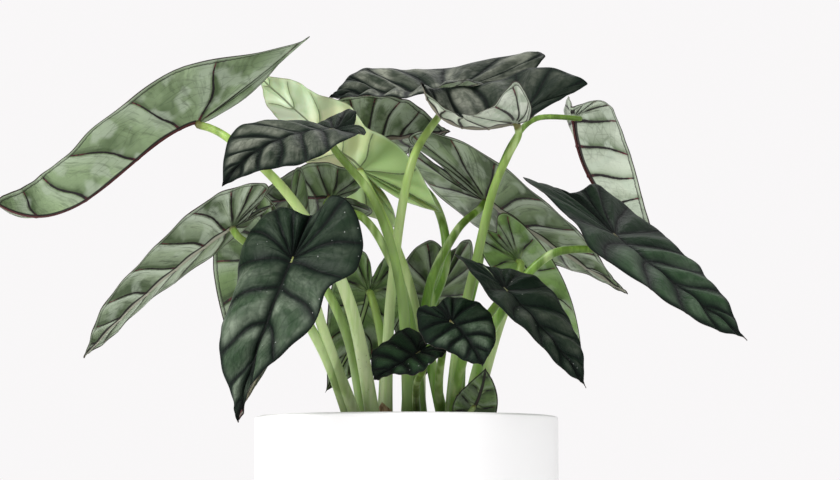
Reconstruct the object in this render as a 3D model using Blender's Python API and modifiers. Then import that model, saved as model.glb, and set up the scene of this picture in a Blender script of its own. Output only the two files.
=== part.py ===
"""A potted alocasia: twenty arrow-shaped leaves on three crowns of green leaf stalks, in a plain white pot.

Metres, +Z up. The origin is the centre of the pot's base, and the side that faces the viewer is -Y.
"""

import math

import bmesh
import bpy
import numpy as np
from mathutils import Vector

MM = 0.001
GAP = 0.3

# Pot and soil, in millimetres
POT_RADIUS = 90
POT_HEIGHT = 165
POT_WALL = 6
POT_FLOOR = 9
POT_LIP = 2.5
POT_FOOT_CHAMFER = 2
POT_SIDES = 64
SOIL_LEVEL = 150
SOIL_CROWNING = 1
CROWN_DEPTH = 16
CROWN_TOP = 8
TURNED_SIDES = 24

# Leaf stalks, in millimetres
STALK_SIDES_RESOLUTION = 2
STALK_POINTS = 13
STALK_NECK = 7
STALK_NECK_SHARE = 0.72

# Blades, in millimetres
BLADE_THICKNESS = 0.9
VEIN_PAIRS = 8
QUILTING = 1.1
QUILTED_WIDTH = 20
WAVE_EDGE_POWER = 2.5
VEIN_BEND = np.array((-0.10, 0.04))

# Half of a blade's flat outline, from the foot of the notch between the lobes, round one lobe and along
# the side to the tip. Each point is (forward, sideways, start): forward in shares of the lobe's length
# behind the stalk and of the front length ahead of it, sideways in shares of the half width, and start
# where on the midrib the vein that ends there begins, in shares of the front length.
HALF_OUTLINE = (
    (-0.40, 0.000, 0.00),
    (-0.78, 0.150, 0.00),
    (-1.00, 0.380, 0.00),
    (-0.90, 0.680, 0.00),
    (-0.50, 0.900, 0.00),
    (0.00, 1.000, 0.00),
    (0.24, 0.950, 0.09),
    (0.45, 0.790, 0.23),
    (0.63, 0.570, 0.40),
    (0.78, 0.340, 0.58),
    (0.89, 0.150, 0.75),
    (0.96, 0.040, 0.90),
    (1.00, 0.000, 1.00),
)

CROWNS = {"left": (-22, -4), "middle": (6, 12), "right": (30, -8)}
CROWN_RADIUS = 15

# What a leaf has unless its own entry says otherwise. Lengths are in millimetres and angles in degrees.
# lobe is how long the lobes behind the stalk are, notch how deep the notch between them leaves them joined,
# in shares of the shorter one, point how pointed they are, or how blunt where it is negative, spread how far
# out their points lie, in shares of the half width, and full how full the sides are towards the tip.
# scallop swells a side beside the stalk and draws it in further on, in waves that die out towards the tip,
# in shares of its width.
# roll and twist turn the blade about its midrib, all along and more towards the tip; fold is the V of its
# halves and curl how they bend on from there; arch and sway bow the midrib up and sideways, and late moves
# that bow towards the tip; lift raises the lobes. A stalk comes up square to its blade, or runs on into the
# midrib as meets goes to 1, or comes from the tip's side where meets is negative, and stalk has its radius at
# the top and at the foot. Pairs are for the left and the right half, seen from the stalk to the tip.
LEAF = {
    "notch": 0.4,
    "point": (0, 0),
    "spread": 0.4,
    "full": (0, 0),
    "scallop": (0, 0),
    "roll": 0,
    "twist": 0,
    "fold": (15, 15),
    "curl": (0, 0),
    "arch": 5,
    "sway": 0,
    "late": 0.0,
    "lift": (0, 0),
    "wave": 1.6,
    "ripples": 3.0,
    "phase": 0.0,
    "rows": 18,
    "columns": 3,
    "tone": "dark",
    "meets": 0.0,
    "stalk": (2.1, 4.0),
}

LEAVES = (
    {
        "name": "upper_left", "tone": "silver",
        "base": (-124, -20, 338), "tip": (-234, -70, 284), "width": 35, "lobe": (84, 24),
        "notch": 0.3, "point": (0.8, 0), "spread": 0.92, "full": (1.8, 0.3), "scallop": (0.05, 0),
        "roll": 43, "twist": 33, "fold": (20, 75), "arch": -4, "sway": -18, "late": 1.25, "lift": (8, 0),
        "crown": "left", "root": (-16, -9), "stalk": (2.2, 4.8), "meets": 0.5,
        "via": ((-36, -24, 238), (-70, -28, 295), (-104, -28, 327)),
    },
    {
        "name": "new_pale", "tone": "pale",
        "base": (-28, 38, 317), "tip": (-93, 40, 377), "width": 25, "lobe": (54, 38),
        "point": (0.5, 0.3), "spread": 0.6, "full": (0.4, 0.3), "scallop": (0.08, 0.1),
        "wave": 3.4, "ripples": 5, "phase": 0.5,
        "roll": 60, "twist": 10, "fold": (8, 8), "curl": (10, 10), "arch": 0,
        "crown": "middle", "root": (8, 14), "meets": 0.6,
        "via": ((6, 22, 225), (-6, 26, 268)),
    },
    {
        "name": "mid_left",
        "base": (-43, -50, 330), "tip": (-104, -90, 292), "width": 36, "lobe": (12, 20),
        "notch": 0.9, "scallop": (0, -0.06),
        "roll": -18, "twist": -35, "fold": (4, -6), "arch": 7, "sway": -6, "lift": (3, 10),
        "crown": "middle", "root": (2, 4),
        "via": ((-4, -20, 243), (-20, -34, 292)),
    },
    {
        "name": "top_back",
        "base": (23, 30, 365), "tip": (-46, -12, 355), "width": 35, "lobe": (22, 70),
        "roll": -5, "twist": -20, "fold": (6, 25), "arch": 0, "sway": -6, "lift": (0, 13),
        "crown": "left", "root": (-13, 0),
        "via": ((-9, 0, 240), (4, 4, 320)),
    },
    {
        "name": "top_front",
        "base": (64, -30, 337), "tip": (9, -46, 358), "width": 43, "lobe": (24, 40),
        "point": (0, 0.7), "spread": 0.7,
        "roll": -45, "fold": (46, 10), "arch": -22, "sway": -7, "lift": (22, -9),
        "crown": "right", "root": (24, -8), "meets": -0.8,
        "via": ((31, -12, 210), (41, -15, 255), (52, -18, 300), (60, -24, 318)),
    },
    {
        "name": "front_left",
        "base": (-64, -94, 250), "tip": (-92, -122, 158), "width": 38, "lobe": (38, 30), "notch": 1,
        "full": (-0.35, 0.05), "scallop": (0.12, 0.14),
        "roll": -22, "twist": 18, "fold": (12, 38), "curl": (-20, -90), "arch": 2, "sway": -1, "lift": (8, 0),
        "wave": 3.2, "ripples": 3.5, "phase": 0.6, "columns": 4,
        "crown": "left", "root": (-22, -10),
        "via": ((-50, -50, 220), (-58, -76, 256)),
    },
    {
        "name": "lower_left", "tone": "silver",
        "base": (-100, -64, 271), "tip": (-181, -90, 195), "width": 27, "lobe": (30, 28), "full": (0.5, 0.3),
        "roll": 42, "twist": 10, "fold": (8, 28), "arch": 6, "sway": -2,
        "crown": "left", "root": (-27, -5),
        "via": ((-50, -42, 205), (-84, -66, 256)),
    },
    {
        "name": "behind_left", "tone": "silver",
        "base": (-72, -6, 262), "tip": (-101, 14, 168), "width": 43, "lobe": (38, 48), "full": (0, -0.5),
        "roll": 42, "fold": (8, 60), "curl": (4, 4), "arch": 2, "sway": -8,
        "crown": "left", "root": (-22, -2),
        "via": ((-36, -6, 215), (-54, -7, 248)),
    },
    {
        "name": "right",
        "base": (122, -41, 269), "tip": (194, -74, 206), "width": 44, "lobe": (46, 60),
        "notch": 1, "point": (0, -0.7), "scallop": (0.08, -0.1),
        "twist": 20, "fold": (12, -4), "arch": 0, "sway": -6, "lift": (8, -4),
        "crown": "right", "root": (31, -12),
        "via": ((50, -26, 215), (84, -36, 258)),
    },
    {
        "name": "broad_right", "tone": "silver",
        "base": (49, 54, 300), "tip": (138, 76, 244), "width": 38, "lobe": (60, 60),
        "roll": -28, "twist": 10, "fold": (14, -4), "arch": -5, "sway": -4, "lift": (9, -7),
        "crown": "right", "root": (25, -3),
        "via": ((12, 18, 235), (30, 28, 278)),
    },
    {
        "name": "low_right", "tone": "silver",
        "base": (67, 2, 258), "tip": (107, 24, 188), "width": 17, "lobe": (30, 30), "notch": 0.8,
        "roll": -58, "fold": (8, 8), "arch": 5, "sway": -3, "lift": (0, 4),
        "crown": "right", "root": (34, -3),
        "via": ((54, -6, 215),),
    },
    {
        "name": "small_front_right",
        "base": (26, -78, 216), "tip": (43, -95, 190), "width": 24, "lobe": (16, 16), "notch": 0.85,
        "roll": 12, "twist": 15, "fold": (8, -4), "arch": 0, "sway": 2, "lift": (0, 3),
        "crown": "right", "root": (22, -12), "stalk": (1.8, 3.4), "rows": 14,
        "via": ((20, -18, 164), (19, -36, 184), (21, -52, 200)),
    },
    {
        "name": "small_front_left",
        "base": (7, -72, 199), "tip": (-18, -92, 183), "width": 22, "lobe": (12, 12),
        "roll": -10, "twist": -8, "fold": (2, 22), "arch": -2, "sway": -3, "lift": (0, -7),
        "crown": "middle", "root": (6, 6), "stalk": (1.8, 3.0), "rows": 14,
        "via": ((6, -4, 164), (6, -44, 182)),
    },
    {
        "name": "upper_right", "tone": "silver",
        "base": (103, 50, 351), "tip": (151, 46, 279), "width": 38, "lobe": (12, 9),
        "notch": 0.8, "full": (0, 0.5),
        "roll": -110, "twist": 30, "fold": (110, 10), "curl": (0, 20), "arch": 10, "sway": 10, "lift": (0, 0),
        "crown": "right", "root": (31, 1), "stalk": (1.6, 3.4),
        "via": ((34, 2, 215), (43, 6, 255), (52, 9, 300), (64, 17, 331), (80, 37, 349)),
    },
    {
        "name": "behind_middle", "tone": "silver",
        "base": (-26, 66, 339), "tip": (27, 80, 347), "width": 35, "lobe": (26, 26),
        "roll": -35, "fold": (15, 13), "arch": -1, "lift": (0, 6),
        "crown": "middle", "root": (-1, 16),
        "via": ((4, 22, 205), (24, 38, 262), (16, 50, 300), (-6, 60, 320)),
    },
    {
        "name": "front_right",
        "base": (57, -60, 236), "tip": (101, -95, 178), "width": 28, "lobe": (24, 30),
        "notch": 1, "point": (0, -0.7),
        "roll": 7, "twist": 15, "fold": (8, 15), "arch": 2, "lift": (-4, -2),
        "crown": "right", "root": (26, -15),
        "via": ((34, -40, 200),),
    },
    {
        "name": "rim_right",
        "base": (39, -43, 168), "tip": (46, -41, 192), "width": 13, "lobe": (9, 9),
        "roll": -112, "fold": (12, 12), "arch": 2, "sway": 1, "wave": 0.8,
        "crown": "right", "root": (33, -17), "stalk": (1.5, 2.2), "rows": 12, "meets": 0.8,
        "via": ((34, -22, 153), (37, -41, 157)),
    },
    {
        "name": "back_left", "tone": "silver",
        "base": (-23, 28, 241), "tip": (-50, 46, 181), "width": 23, "lobe": (24, 24),
        "roll": 45, "fold": (0, 5), "arch": -2, "sway": -3, "lift": (0, 10),
        "crown": "left", "root": (-15, 2),
        "via": ((-14, 12, 205),),
    },
    {
        "name": "back_middle", "tone": "silver",
        "base": (17, 70, 243), "tip": (8, 86, 187), "width": 26, "lobe": (40, 40), "notch": 0.9,
        "roll": 15, "fold": (15, 18), "curl": (15, 15), "arch": 8, "lift": (0, 4),
        "crown": "middle", "root": (10, 19),
        "via": ((8, 46, 205),),
    },
    {
        "name": "inner_left", "tone": "silver",
        "base": (-46, 20, 298), "tip": (-95, 35, 295), "width": 25, "lobe": (23, 23),
        "roll": 45, "fold": (4, 15), "arch": 2, "lift": (4, 0),
        "crown": "middle", "root": (11, 6),
        "via": ((2, 6, 222), (-7, 8, 253), (-26, 6, 284)),
    },
)


def unit(v):
    return v / np.linalg.norm(v)


def through(points, count):
    """count points along a smooth curve through the given ones."""
    p = np.array(points, float)
    knots = np.concatenate([[0], np.cumsum(np.sqrt(np.linalg.norm(np.diff(p, axis=0), axis=1)))])
    slopes = np.gradient(p, knots, axis=0)
    found = []
    for k in np.linspace(0, knots[-1], count):
        i = min(np.searchsorted(knots, k, side="right") - 1, len(p) - 2)
        step = knots[i + 1] - knots[i]
        s = (k - knots[i]) / step
        start = (1 + 2 * s) * (1 - s) ** 2 * p[i] + s * (1 - s) ** 2 * step * slopes[i]
        end = s * s * (3 - 2 * s) * p[i + 1] + s * s * (s - 1) * step * slopes[i + 1]
        found.append(start + end)
    return np.array(found)


def leaf_axes(leaf):
    """(base, tip, side, up) of a blade: side points to its left and up out of its upper face."""
    base, tip = np.array(leaf["base"], float), np.array(leaf["tip"], float)
    forward = unit(tip - base)
    level = unit(np.cross((0, 0, 1), forward))
    above = np.cross(forward, level)
    roll = math.radians(leaf["roll"])
    side = math.cos(roll) * level + math.sin(roll) * above
    return base, tip, side, np.cross(forward, side)


def along_outline(u):
    """The row of HALF_OUTLINE at u, 0 at its first point and 1 at its last, on a smooth curve."""
    rows = np.array(HALF_OUTLINE)
    slopes = np.gradient(rows, axis=0)
    i = min(int(u * (len(rows) - 1)), len(rows) - 2)
    s = u * (len(rows) - 1) - i
    start = (1 + 2 * s) * (1 - s) ** 2 * rows[i] + s * (1 - s) ** 2 * slopes[i]
    return start + s * s * (3 - 2 * s) * rows[i + 1] + s * s * (s - 1) * slopes[i + 1]


def flat_point(leaf, half, u, t):
    """(forward, sideways) of a point of a blade's half laid flat, and the width of the half there. u runs
    round the outline from the notch to the tip, and t from the midrib at 0 to the edge at 1."""
    front = math.dist(leaf["tip"], leaf["base"])
    forward, sideways, start = along_outline(u)
    sideways = max(sideways, 0)
    if forward > 0:
        ahead = forward * front
        sideways **= 1 / (1 + leaf["full"][half])
    else:
        lobe = leaf["lobe"][half]
        joined = -HALF_OUTLINE[0][0] * lobe - leaf["notch"] * min(leaf["lobe"])
        ahead = forward * lobe + joined * max(0, 1 - 6 * u) ** 2
        pull = leaf["point"][half] * forward**2 * min(1, 12 * u)
        sideways += pull * (leaf["spread"] - sideways)
    front_share = max(forward, 0)
    sideways *= 1 + leaf["scallop"][half] * math.cos(5 * math.pi * front_share) * (1 - front_share)
    edge = np.array([ahead, sideways * leaf["width"]])
    foot = np.array([max(start, 0) * front, 0])
    reach = math.dist(edge, foot)
    bend = (edge + foot) / 2 + VEIN_BEND * reach * min(1, 4 * u)
    x, y = (1 - t) ** 2 * foot + 2 * t * (1 - t) * bend + t * t * edge
    return x, y if t > 0 else 0, reach


def blade_point(leaf, u, t):
    """A point of the blade's middle surface, in millimetres. t is -1 at the right edge, 1 at the left."""
    base, tip, side, up = leaf_axes(leaf)
    half, hand = (0, 1) if t > 0 else (1, -1)
    span = tip - base
    lobe = leaf["lobe"][half]
    x, y, reach = flat_point(leaf, half, u, abs(t))
    s = max(x, 0) / math.dist(tip, base)
    bow = 4 * (leaf["arch"] * up + leaf["sway"] * side)
    late = leaf["late"]
    along = unit(span + ((1 - late) * (1 - 2 * s) + 2 * late * s * (2 - 3 * s)) * bow)
    middle = base + s * span + s * (1 - s) * (1 + late * (2 * s - 1)) * bow + min(x, 0) * along
    side = unit(side - np.dot(side, along) * along)
    turn = math.radians(leaf["twist"]) * s
    side = math.cos(turn) * side + math.sin(turn) * np.cross(along, side)
    up = np.cross(along, side)

    rise = math.radians(leaf["fold"][half])
    bend = math.radians(leaf["curl"][half]) or 0.001
    angle = rise + bend * y / leaf["width"]
    across = leaf["width"] / bend * (math.sin(angle) - math.sin(rise))
    raised = leaf["width"] / bend * (math.cos(rise) - math.cos(angle))
    raised += leaf["lift"][half] * (min(x, 0) / lobe) ** 2 * min(1, y / (0.3 * leaf["width"]))
    ripple = math.sin(2 * math.pi * (leaf["ripples"] * u + leaf["phase"] + half * 0.37))
    raised += leaf["wave"] * abs(t) ** WAVE_EDGE_POWER * ripple * math.sin(math.pi * u) ** 0.5
    room = min(1, reach / QUILTED_WIDTH)
    pillow = math.sin(math.pi * VEIN_PAIRS * u) ** 2 * math.sin(math.pi * abs(t)) ** 0.7
    raised += QUILTING * room * pillow
    return middle + hand * across * side + raised * up


def material(name, colour, roughness):
    made = bpy.data.materials.get(name)
    if made is None:
        made = bpy.data.materials.new(name)
        made.use_nodes = True
        shader = made.node_tree.nodes["Principled BSDF"]
        shader.inputs["Base Color"].default_value = (*colour, 1)
        shader.inputs["Roughness"].default_value = roughness
        shader.inputs["Metallic"].default_value = 0
    return made


MATERIALS = {
    "dark": ("blade_dark", (0.020, 0.045, 0.030), 0.35),
    "silver": ("blade_silver", (0.20, 0.28, 0.19), 0.5),
    "pale": ("blade_pale", (0.42, 0.55, 0.30), 0.5),
    "stalk": ("leaf_stalk", (0.26, 0.42, 0.12), 0.4),
    "pot": ("white_ceramic", (0.85, 0.85, 0.85), 0.5),
    "soil": ("potting_soil", (0.045, 0.030, 0.020), 0.95),
}


def add_object(name, mesh, kind, collection):
    made = bpy.data.objects.new(name, mesh)
    mesh.materials.append(material(*MATERIALS[kind]))
    collection.objects.link(made)
    return made


def blade(leaf, collection):
    """A blade as a grid laid over the leaf's surface, thickened by Solidify."""
    rows, columns = leaf["rows"], 2 * leaf["columns"]
    grid = bmesh.new()
    bmesh.ops.create_grid(grid, x_segments=rows, y_segments=columns, size=1)
    for v in grid.verts:
        u, t = (v.co.x + 1) / 2, v.co.y
        v.co = Vector(blade_point(leaf, min(max(u, 0), 1), t if abs(t) > 1e-4 else 0.0)) * MM
    bmesh.ops.remove_doubles(grid, verts=grid.verts, dist=0.02 * MM)
    bmesh.ops.triangulate(grid, faces=grid.faces)
    mesh = bpy.data.meshes.new("blade_" + leaf["name"])
    grid.to_mesh(mesh)
    grid.free()
    made = add_object(mesh.name, mesh, leaf["tone"], collection)
    thick = made.modifiers.new("thickness", "SOLIDIFY")
    thick.thickness = BLADE_THICKNESS * MM
    thick.offset = 0
    return made


def stalk_line(leaf):
    """Points up a leaf stalk, ending under the blade, and the radius at each."""
    base, tip, side, up = leaf_axes(leaf)
    along = unit(tip - base + 4 * (1 - leaf["late"]) * (leaf["arch"] * up + leaf["sway"] * side))
    up = unit(np.cross(along, side))
    top, foot = leaf["stalk"]
    droop = math.tan(math.radians(max(0, -min(leaf["fold"])))) + abs(leaf["meets"])
    end = base - (BLADE_THICKNESS / 2 + 2 * GAP + droop * top) * up
    neck = end - STALK_NECK * unit((1 - leaf["meets"]) * up + leaf["meets"] * along)
    root = (*leaf["root"], SOIL_LEVEL - CROWN_DEPTH / 3)
    line = through([root, *leaf["via"], neck, end], STALK_POINTS)
    radii = foot + (top - foot) * np.minimum(1, np.linspace(0, 1.15, STALK_POINTS)) ** 0.6
    radii[-1] = top * STALK_NECK_SHARE
    return line, radii


def stalk(leaf, collection):
    """A leaf stalk as a tapered round tube."""
    line, radii = stalk_line(leaf)
    curve = bpy.data.curves.new("stalk_" + leaf["name"], "CURVE")
    curve.dimensions = "3D"
    curve.bevel_depth = MM
    curve.bevel_resolution = STALK_SIDES_RESOLUTION
    curve.use_fill_caps = True
    spline = curve.splines.new("POLY")
    spline.points.add(len(line) - 1)
    for point, place, radius in zip(spline.points, line, radii):
        point.co = (*(place * MM), 1)
        point.radius = radius
    guide = bpy.data.objects.new(curve.name, curve)
    collection.objects.link(guide)
    graph = bpy.context.evaluated_depsgraph_get()
    mesh = bpy.data.meshes.new_from_object(guide.evaluated_get(graph))
    shape = bmesh.new()
    shape.from_mesh(mesh)
    bmesh.ops.remove_doubles(shape, verts=shape.verts, dist=0.01 * MM)
    shape.to_mesh(mesh)
    shape.free()
    made = bpy.data.objects.new(curve.name, mesh)
    made.matrix_world = guide.matrix_world
    collection.objects.link(made)
    bpy.data.objects.remove(guide)
    return made


def turned(name, profile, sides, kind, collection, centre=(0, 0)):
    """A turned solid from a profile of (radius, height), which runs down its outer side."""
    mesh = bpy.data.meshes.new(name)
    points = [(r * MM, 0, z * MM) for r, z in profile]
    mesh.from_pydata(points, [(i, i + 1) for i in range(len(points) - 1)], [])
    made = add_object(name, mesh, kind, collection)
    made.location = (centre[0] * MM, centre[1] * MM, 0)
    screw = made.modifiers.new("turn", "SCREW")
    screw.steps = screw.render_steps = sides
    screw.use_merge_vertices = True
    screw.merge_threshold = 0.00001
    return made


def crown(name, centre, parts, cutters):
    """A short stem with the leaf stalks that spring from it, joined in one body, and the hole it stands in."""
    foot = SOIL_LEVEL - CROWN_DEPTH
    top = SOIL_LEVEL + CROWN_TOP
    shoulder = SOIL_LEVEL + 2 * SOIL_CROWNING
    profile = [
        (0, top),
        (0.55 * CROWN_RADIUS, top - 1),
        (0.87 * CROWN_RADIUS, (top + shoulder) / 2),
        (CROWN_RADIUS, shoulder),
        (CROWN_RADIUS, foot),
        (0, foot),
    ]
    made = turned("stalks_" + name, profile, TURNED_SIDES, "stalk", parts, centre)
    pieces = bpy.data.collections.new("stalks_" + name)
    bpy.context.scene.collection.children.link(pieces)
    for leaf in LEAVES:
        if leaf["crown"] == name:
            stalk({**LEAF, **leaf}, pieces)
    join = made.modifiers.new("join", "BOOLEAN")
    join.operand_type = "COLLECTION"
    join.operation = "UNION"
    join.collection = pieces
    join.use_self = True
    graph = bpy.context.evaluated_depsgraph_get()
    made.data = bpy.data.meshes.new_from_object(made.evaluated_get(graph))
    made.modifiers.clear()
    for piece in list(pieces.objects):
        bpy.data.objects.remove(piece)
    bpy.data.collections.remove(pieces)

    wide = CROWN_RADIUS + GAP
    profile = [(0, top), (wide, top), (wide, foot - GAP), (0, foot - GAP)]
    hole = turned("hole_" + name, profile, TURNED_SIDES, "soil", cutters, centre)
    hole.hide_render = True
    hole.display_type = "WIRE"
    return hole


def pot(collection):
    inner = POT_RADIUS - POT_WALL
    lip = [
        (POT_RADIUS - POT_LIP * (1 - math.sin(a)), POT_HEIGHT - POT_LIP * (1 - math.cos(a)))
        for a in np.linspace(0, math.pi / 2, 4)
    ]
    profile = [
        (0, POT_FLOOR),
        (inner, POT_FLOOR),
        (inner, POT_HEIGHT - POT_LIP / 2),
        (inner + POT_LIP / 2, POT_HEIGHT),
        *lip,
        (POT_RADIUS, POT_FOOT_CHAMFER),
        (POT_RADIUS - POT_FOOT_CHAMFER, 0),
        (0, 0),
    ]
    return turned("pot", profile, POT_SIDES, "pot", collection)


def soil(collection, holes):
    radius = POT_RADIUS - POT_WALL - GAP
    profile = [
        (0, SOIL_LEVEL + SOIL_CROWNING),
        (0.55 * radius, SOIL_LEVEL + 0.8 * SOIL_CROWNING),
        (0.85 * radius, SOIL_LEVEL),
        (radius, SOIL_LEVEL - SOIL_CROWNING),
        (radius, POT_FLOOR + GAP),
        (0, POT_FLOOR + GAP),
    ]
    made = turned("soil", profile, POT_SIDES, "soil", collection)
    for hole in holes:
        cut = made.modifiers.new(hole.name, "BOOLEAN")
        cut.operation = "DIFFERENCE"
        cut.object = hole
    return made


def build():
    for old in list(bpy.data.objects):
        bpy.data.objects.remove(old)
    parts = bpy.data.collections.new("potted_alocasia")
    cutters = bpy.data.collections.new("cutters")
    bpy.context.scene.collection.children.link(parts)
    bpy.context.scene.collection.children.link(cutters)
    pot(parts)
    holes = [crown(name, centre, parts, cutters) for name, centre in CROWNS.items()]
    soil(parts, holes)
    for leaf in LEAVES:
        blade({**LEAF, **leaf}, parts)


build()
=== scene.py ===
"""The look of a potted alocasia: quilted arrow-shaped leaves, near black above and silver green below, with
dark red veins, on fleshy green stalks in a plain white pot.

Lengths are in millimetres until MM turns them into metres. The leaves' places are the same as in part.py.
"""

import math

import bmesh
import bpy
import numpy as np
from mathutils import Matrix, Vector


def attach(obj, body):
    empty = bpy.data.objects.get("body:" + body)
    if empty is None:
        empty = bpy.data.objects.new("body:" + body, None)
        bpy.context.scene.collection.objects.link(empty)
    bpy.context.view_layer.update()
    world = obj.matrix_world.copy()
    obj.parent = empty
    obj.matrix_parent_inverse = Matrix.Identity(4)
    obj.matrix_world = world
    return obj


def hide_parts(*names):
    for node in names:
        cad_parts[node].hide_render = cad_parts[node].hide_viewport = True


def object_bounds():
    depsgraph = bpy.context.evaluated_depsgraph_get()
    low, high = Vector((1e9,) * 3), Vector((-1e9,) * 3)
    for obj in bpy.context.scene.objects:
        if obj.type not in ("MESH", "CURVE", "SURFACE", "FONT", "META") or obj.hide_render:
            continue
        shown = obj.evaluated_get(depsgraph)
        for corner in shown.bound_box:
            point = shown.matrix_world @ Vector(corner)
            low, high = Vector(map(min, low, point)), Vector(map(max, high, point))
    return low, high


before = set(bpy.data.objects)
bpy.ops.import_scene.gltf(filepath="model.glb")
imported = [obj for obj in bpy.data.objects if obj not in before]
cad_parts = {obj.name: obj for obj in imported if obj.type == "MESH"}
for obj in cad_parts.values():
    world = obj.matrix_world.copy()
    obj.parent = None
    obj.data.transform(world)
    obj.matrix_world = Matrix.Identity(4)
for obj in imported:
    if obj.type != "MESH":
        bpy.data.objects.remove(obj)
cad_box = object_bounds()

MM = 0.001

# How far apart neighbouring solids stand, and the corners of the solids' box, which blades stay inside
GAP = 0.3
LIMITS = np.array(cad_box) / MM

# Camera: where it stands, in metres, and the photograph's width, focal length and height of view in pixels
PHOTO_WIDTH_PX = 840
CAMERA_FOCUS_PX = 2690
CAMERA_RISE_PX = 261
CAMERA_PLACE = (0.008, -1.6, 0.115)
SENSOR = 36
CLIP_START = 0.05

# Light: the surround as it lights the plant and as the camera sees it, and soft lamps, each with a name,
# a place, a size in metres, a power in watts and a colour
SURROUND_COLOUR = (1, 0.985, 0.99)
SURROUND_LIGHT = 0.66
SURROUND_SEEN = 0.945
LAMP_TARGET = (0, 0, 0.25)
FLOOR_REACH = 6
LAMPS = (
    ("key", (-1.5, -1.0, 1.8), 1.1, 44, (1, 0.985, 0.97)),
    ("fill", (1.5, -1.6, 0.5), 1.6, 11, (0.97, 0.985, 1)),
    ("side", (-1.7, -0.9, 0.3), 1.2, 12, (1, 1, 1)),
    ("back", (0.2, 1.3, 2.1), 1.4, 9, (1, 1, 1)),
)

# Pot and soil. Crumbs are soil, bark or pale grains, each with its share and its least and greatest size.
POT_RADIUS = 90
POT_HEIGHT = 165
POT_WALL = 6
POT_FLOOR = 9
LIP_DROP = 1.6
POT_FOOT_CHAMFER = 2
POT_INSIDE_BEVEL = 2
POT_CENTRE = 0.01
POT_SIDES = 192
SOIL_LEVEL = 150
SOIL_CROWNING = 1
SOIL_SIDES = 160
SOIL_RINGS = 44
SOIL_LUMP = 1.3
SOIL_SMALL_LUMP = 0.45
SOIL_ROUGHNESS = 0.22
SOIL_EDGE_DROP = 0.5
SOIL_RADIUS = POT_RADIUS - POT_WALL - GAP
SOIL_SEED = 7
CRUMBS = 1500
CRUMB_REACH = 0.965
CRUMB_UNEVENNESS = 0.28
CRUMB_RISE = 0.25
CRUMB_SHARES = (0.80, 0.14, 0.06)
CRUMB_SIZES = ((0.7, 2.2), (1.5, 3.6), (0.8, 1.6))
CRUMB_TILT = 0.5

# Crowns, leaf stalks and the dry sheaths at their feet
CROWNS = {"left": (-22, -4), "middle": (6, 12), "right": (30, -8)}
CROWN_RADIUS = 15
CROWN_DEPTH = 16
CROWN_TOP = 8
CROWN_RING = 72
CROWN_GROOVES = 7
CROWN_GROOVE_SHARE = 0.06
STALK_POINTS = 72
STALK_SIDES = 28
STALK_NECK = 7
STALK_END_RISE = 0.2
STALK_END_SHARE = 0.9
STALK_OVAL = 0.05
STALK_TAPER_SPEED = 1.15
STALK_TAPER_POWER = 0.6
STALK_DARKENING_REACH = 30
STALK_SWELL = 0.22
STALK_SWELL_REACH = 0.10
STALK_RING_START = (0.31, -0.95, 0.05)
SHEATH_POINTS = 60
SHEATH_COLUMNS = 18
SHEATH_THICKNESS = 0.3
SHEATH_FIRST_POINT = 3
SHEATH_WRAP = 1.9
SHEATH_TAPER_POWER = 0.55
SHEATH_WIDENING = 1.12
SHEATH_GAP = 0.5
SHEATH_FLARE = 2.6
SHEATH_WRINKLE = 0.25
SHEATH_WRINKLES = (9, 14)

# Blades: how thick the solid's and the dressed one are, how fine the mesh is, the edge's waves, how far veins
# stray from their lines in shares of the distance between two, how veins and the midrib stand out below and
# sink in above, and how they and the edge thin out
BLADE_THICKNESS = 0.9
THICKNESS = 0.55
ROWS_PER_VEIN = 16
COLUMNS = 26
COLUMN_CROWDING = 0.9
QUILTED_WIDTH = 20
WAVE_EDGE_POWER = 2.5
FRILL = 0.45
WANDER = 0.07
VEIN_BEND = np.array((-0.10, 0.04))
MIDRIB_HEIGHT = 1.0
MIDRIB_WIDTH = 1.4
VEIN_HEIGHT = 0.45
VEIN_WIDTH = 0.6
VEIN_GROOVE = 0.5
MIDRIB_GROOVE = 0.35
MIDRIB_THINNING = 0.75
VEIN_THINNING = 0.6
FULL_WIDTH = 40
CLOSE_VEINS = 4
RIM_TAPER = 4
RIM_THICKNESS_SHARE = 0.35

# Colours
UNDER_SILVER = (0.42, 0.51, 0.36)
UNDER_SILVER_DEEP = (0.11, 0.16, 0.08)
UNDER_OLIVE = (0.21, 0.25, 0.17)
UNDER_OLIVE_DEEP = (0.035, 0.05, 0.025)
UNDER_GREEN = (0.22, 0.38, 0.1)
UNDER_GREEN_DEEP = (0.06, 0.12, 0.025)
UNDER_PALE_AND_HIGHLIGHT = (0.5, 0.58, 0.46)
UNDER_WHITE = (0.78, 0.83, 0.72)
UNDER_SHADE = (0.015, 0.025, 0.012)
UNDER_BAND = (0.15, 0.19, 0.12)
VEIN_DARK = (0.01, 0.007, 0.007)
VEIN_RED = (0.11, 0.014, 0.024)
VEIN_HALO = (0.05, 0.045, 0.03)
VEIN_FRESH = (0.3, 0.42, 0.17)
MIDRIB_PALE = (0.36, 0.36, 0.28)
MIDRIB_RED = (0.1, 0.03, 0.03)
MARGIN_DARK = (0.025, 0.012, 0.012)
RIM_LIGHT = (0.08, 0.07, 0.05)
TOP_DARK = (0.004, 0.01, 0.006)
TOP_SHEEN_GREY = (0.4, 0.42, 0.34)
TOP_SHEEN_TEAL = (0.33, 0.43, 0.32)
TOP_GREEN = (0.023, 0.06, 0.022)
TOP_VEIN = (0.003, 0.005, 0.004)
DUST_AND_GLINT = (0.4, 0.42, 0.4)
YOUNG_PALE = (0.55, 0.65, 0.47)
YOUNG_CREAM = (0.62, 0.64, 0.36)
YOUNG_GREEN = (0.31, 0.47, 0.17)
YOUNG_MINT = (0.5, 0.66, 0.42)
YOUNG_VEIN_SHADE = (0.22, 0.32, 0.13)
YOUNG_VEIN = (0.09, 0.12, 0.05)
STALK_FOOT_DARK = (0.15, 0.33, 0.04)
STALK_FOOT_PALE = (0.74, 0.86, 0.5)
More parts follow.
